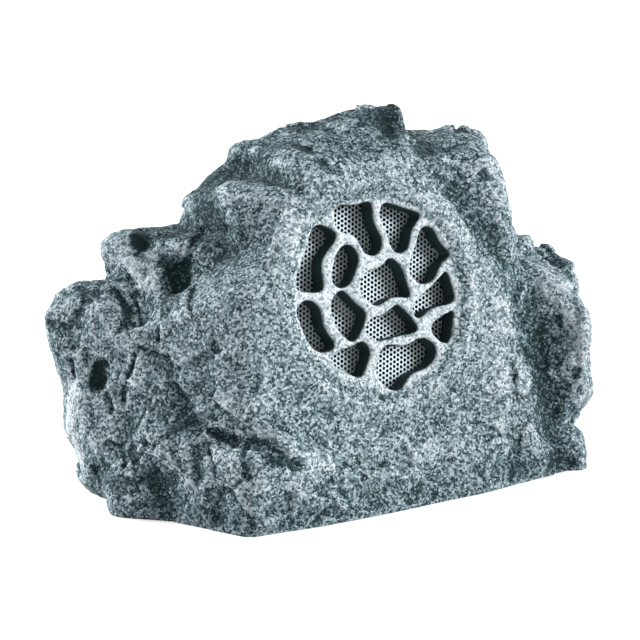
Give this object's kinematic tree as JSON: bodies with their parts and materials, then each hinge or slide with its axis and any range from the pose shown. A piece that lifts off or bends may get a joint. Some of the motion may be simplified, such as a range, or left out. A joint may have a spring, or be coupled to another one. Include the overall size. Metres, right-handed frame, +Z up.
{
  "type": "rock shaped garden speaker",
  "caption": "Outdoor loudspeaker moulded as a granite boulder, with a branching web over a perforated grille in its leaning face and a sprung cone inside.",
  "frame": {"origin": "centre of the bounding box on the ground, under the middle of the rock", "axes": "+Z up, -Y is the leaning speaker face, +X to the right for someone who looks at the face"},
  "size_m": [0.404, 0.25, 0.278],
  "materials": {
    "rock_resin": "granite-flecked moulded resin",
    "grille_steel": "light grey perforated sheet",
    "black_steel": "black paint",
    "black_plastic": "moulded",
    "edge_rubber": "matt",
    "cone_paper": "coated paper",
    "coil_copper": "enamelled copper wire",
    "spider_cloth": "resin-dipped cloth",
    "zinc_steel": "zinc plated",
    "ferrite": "ground ceramic magnet",
    "dome_silk": "coated silk",
    "board_laminate": "glass-fibre laminate",
    "tag_brass": "bright",
    "capacitor_film": "wrapped film",
    "resistor_ceramic": "cement",
    "terminal_green": "moulded",
    "lead_pvc": "extruded sheath"
  },
  "bodies": {
    "cabinet": {"rock_shell": "rock_resin", "perforated_grille": "grille_steel", "grille_ring": "black_plastic", "driver_gasket": "edge_rubber", "basket": "black_steel", "surround": "edge_rubber", "spider": "spider_cloth", "top_plate": "zinc_steel", "magnet": "ferrite", "yoke": "zinc_steel", "tweeter_post": "zinc_steel", "tweeter_housing": "black_plastic", "tweeter_plate": "dome_silk", "tag_strip": "board_laminate", "solder_tags": "tag_brass", "driver_screws": "zinc_steel", "base_panel": "black_plastic", "base_screws": "zinc_steel", "crossover_board": "board_laminate", "board_screws": "zinc_steel", "capacitor": "capacitor_film", "coil_bobbin": "black_plastic", "coil_winding": "coil_copper", "resistor": "resistor_ceramic", "terminal_block": "terminal_green", "driver_lead": "lead_pvc", "gland_body": "black_plastic", "gland_seal": "edge_rubber", "gland_cap": "black_plastic", "gland_locknut": "black_plastic"},
    "cone_assembly": {"cone": "cone_paper", "voice_coil": "coil_copper"}
  },
  "joints": [
    {"name": "cone_travel", "type": "slide", "parent": "cabinet", "child": "cone_assembly", "axis": [0, -0.9659, 0.2588], "range_m": [-0.0035, 0.0035], "stiffness_N_per_m": 1200, "deforming": ["surround", "spider"]}
  ]
}
